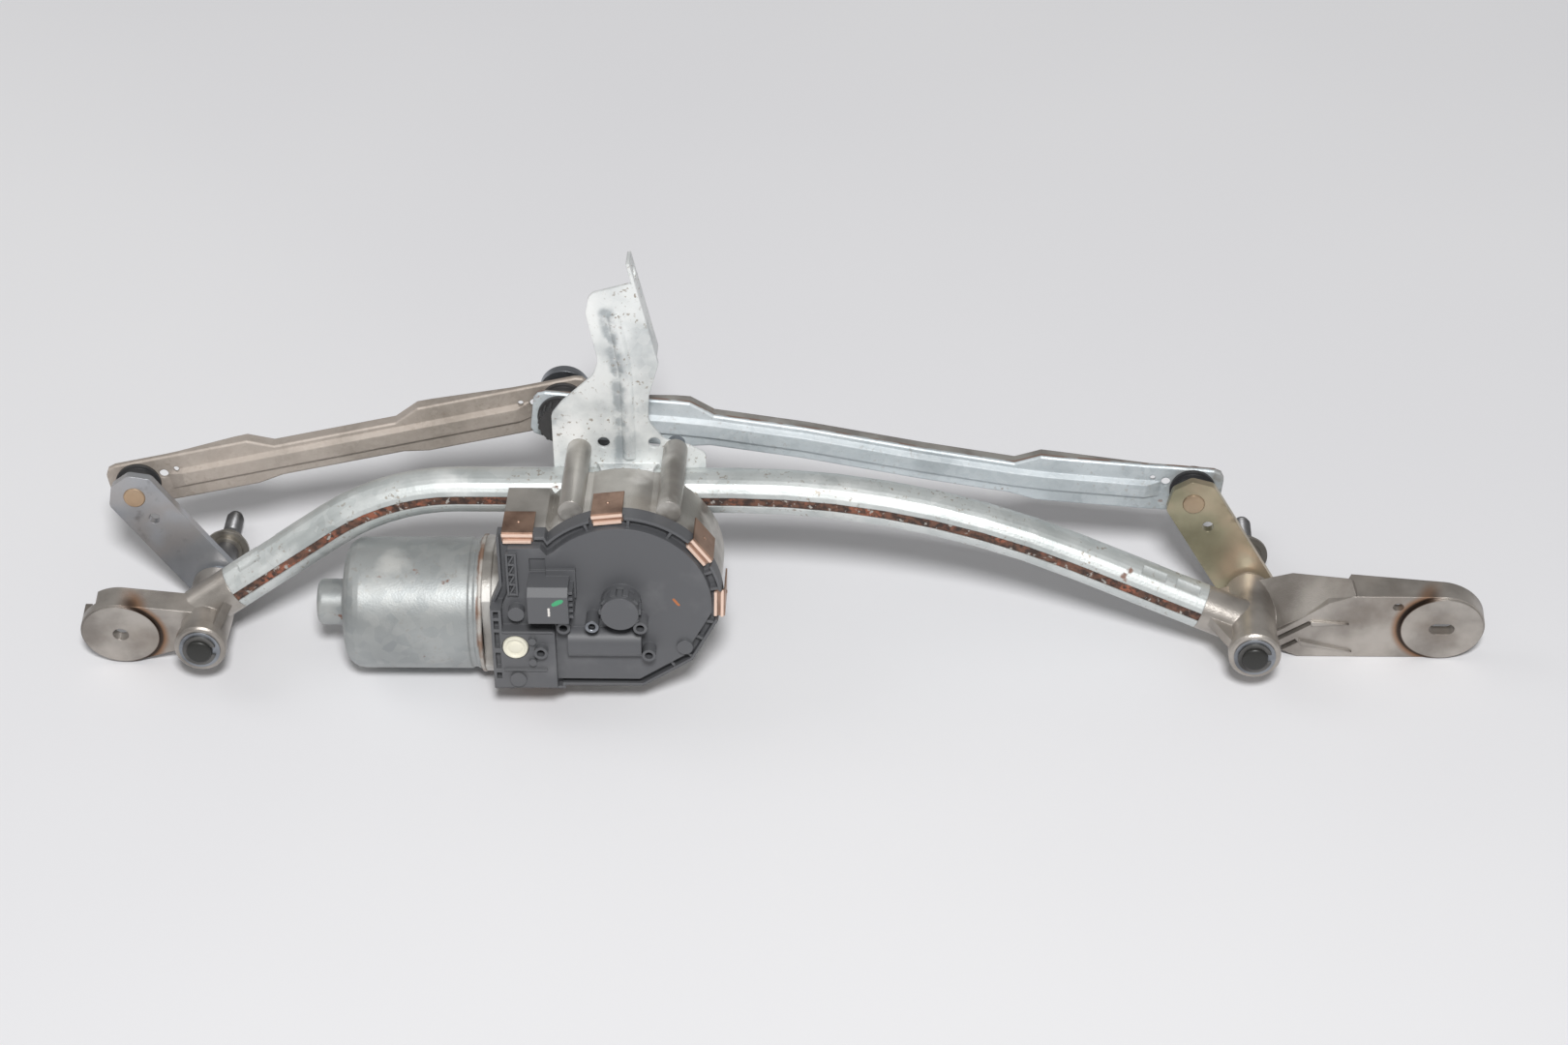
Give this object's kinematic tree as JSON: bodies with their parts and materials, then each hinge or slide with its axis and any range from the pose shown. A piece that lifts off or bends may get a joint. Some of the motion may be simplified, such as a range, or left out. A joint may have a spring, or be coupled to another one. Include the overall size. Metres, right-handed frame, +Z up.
{
  "type": "windscreen wiper linkage",
  "caption": "Windscreen wiper linkage: a geared motor on a bent tube frame turns a crank that swings a pair of wiper shafts through stamped rods with ball joints.",
  "frame": {"origin": "middle of the bottom of the whole part as it rests on the shaft caps and the lip of the motor yoke", "axes": "+X along the line of the two wiper shafts towards the right mounting ear, +Y from the motor cover towards the wiper arms, +Z up"},
  "size_m": [0.7786, 0.1568, 0.2257],
  "materials": {
    "galvanised_steel": "mottled galvanised sheet, a little tarnished",
    "zinc_plate": "bluish zinc plate",
    "rod_steel": "warm grey dipped steel",
    "plain_steel": "plain machined steel",
    "chromate_steel": "yellow passivated zinc",
    "dark_steel": "dark phosphated steel",
    "cast_aluminium": "raw pressure die casting with brown tarnish",
    "bronze": "sintered bearing bronze",
    "copper": "copper-coloured strip",
    "dark_plastic": "charcoal glass-filled plastic",
    "white_plastic": "cream natural plastic",
    "seal_rubber": "soft black rubber",
    "board": "green laminate",
    "magnet": "sintered ferrite"
  },
  "bodies": {
    "frame": {"frame_tube": "galvanised_steel", "left_pivot_housing": "cast_aluminium", "right_pivot_housing": "cast_aluminium", "left_shaft_bushes": "bronze", "right_shaft_bushes": "bronze", "centre_bracket": "galvanised_steel", "bracket_screws": "plain_steel", "gear_housing": "cast_aluminium", "gear_cover": "dark_plastic", "connector_socket": "dark_plastic", "connector_pins": "copper", "cover_cap": "dark_plastic", "cover_plug": "white_plastic", "cover_clips": "copper", "cover_seal": "seal_rubber", "control_board": "board", "output_bush": "bronze", "motor_yoke": "zinc_plate", "yoke_magnets": "magnet", "yoke_bearing": "bronze", "worm_bearing": "bronze", "brush_card": "dark_plastic"},
    "crank": {"motor_crank": "plain_steel", "crank_ball_stud": "plain_steel", "crank_nut": "plain_steel", "output_shaft": "plain_steel", "worm_wheel": "white_plastic"},
    "armature": {"armature_shaft": "plain_steel", "armature_core": "dark_steel", "commutator": "copper"},
    "left_shaft": {"left_shaft": "dark_steel", "left_lever": "plain_steel", "left_lever_ball": "plain_steel", "left_shaft_cap": "dark_steel", "left_shaft_washers": "plain_steel", "left_shaft_clip": "dark_steel"},
    "right_shaft": {"right_shaft": "dark_steel", "right_lever": "chromate_steel", "right_lever_ball": "plain_steel", "right_shaft_cap": "dark_steel", "right_shaft_washers": "plain_steel", "right_shaft_clip": "dark_steel"},
    "left_rod": {"left_rod": "rod_steel", "left_rod_outer_socket": "dark_plastic", "left_rod_inner_socket": "dark_plastic"},
    "right_rod": {"right_rod": "zinc_plate", "right_rod_inner_socket": "dark_plastic", "right_rod_outer_socket": "dark_plastic"}
  },
  "joints": [
    {"name": "crank_turn", "type": "hinge", "parent": "frame", "child": "crank", "pos_m": [-0.08282, 0.01247, 0.06356], "axis": [0, 0.9799, -0.1994], "range_deg": [0, 84]},
    {"name": "left_shaft_turn", "type": "hinge", "parent": "frame", "child": "left_shaft", "pos_m": [-0.31883, -0.02472, 0.02622], "axis": [0, 0.9799, -0.1994], "range_deg": [0, 81]},
    {"name": "right_shaft_turn", "type": "hinge", "parent": "frame", "child": "right_shaft", "pos_m": [0.26117, -0.02472, 0.02622], "axis": [0, 0.9799, -0.1994], "range_deg": [0, 88.5]},
    {"name": "left_rod_swing", "type": "hinge", "parent": "left_shaft", "child": "left_rod", "pos_m": [-0.36006, 0.03286, 0.07349], "axis": [0, 0.9799, -0.1994], "range_deg": [-79.5, 0]},
    {"name": "right_rod_swing", "type": "hinge", "parent": "right_shaft", "child": "right_rod", "pos_m": [0.22867, 0.03279, 0.07314], "axis": [0, 0.9799, -0.1994], "range_deg": [-87, 0]},
    {"name": "armature_spin", "type": "hinge", "parent": "frame", "child": "armature", "pos_m": [-0.17283, -0.0234, 0.0382], "axis": [1, 0, 0], "range_deg": [0, 4400]}
  ],
  "couplings": [
    {"joint": "left_shaft_turn", "follows": "crank_turn", "ratio": 0.9562},
    {"joint": "right_shaft_turn", "follows": "crank_turn", "ratio": 1.0462},
    {"joint": "left_rod_swing", "follows": "crank_turn", "ratio": -0.9397},
    {"joint": "right_rod_swing", "follows": "crank_turn", "ratio": -1.0284},
    {"joint": "armature_spin", "follows": "crank_turn", "ratio": 52}
  ]
}
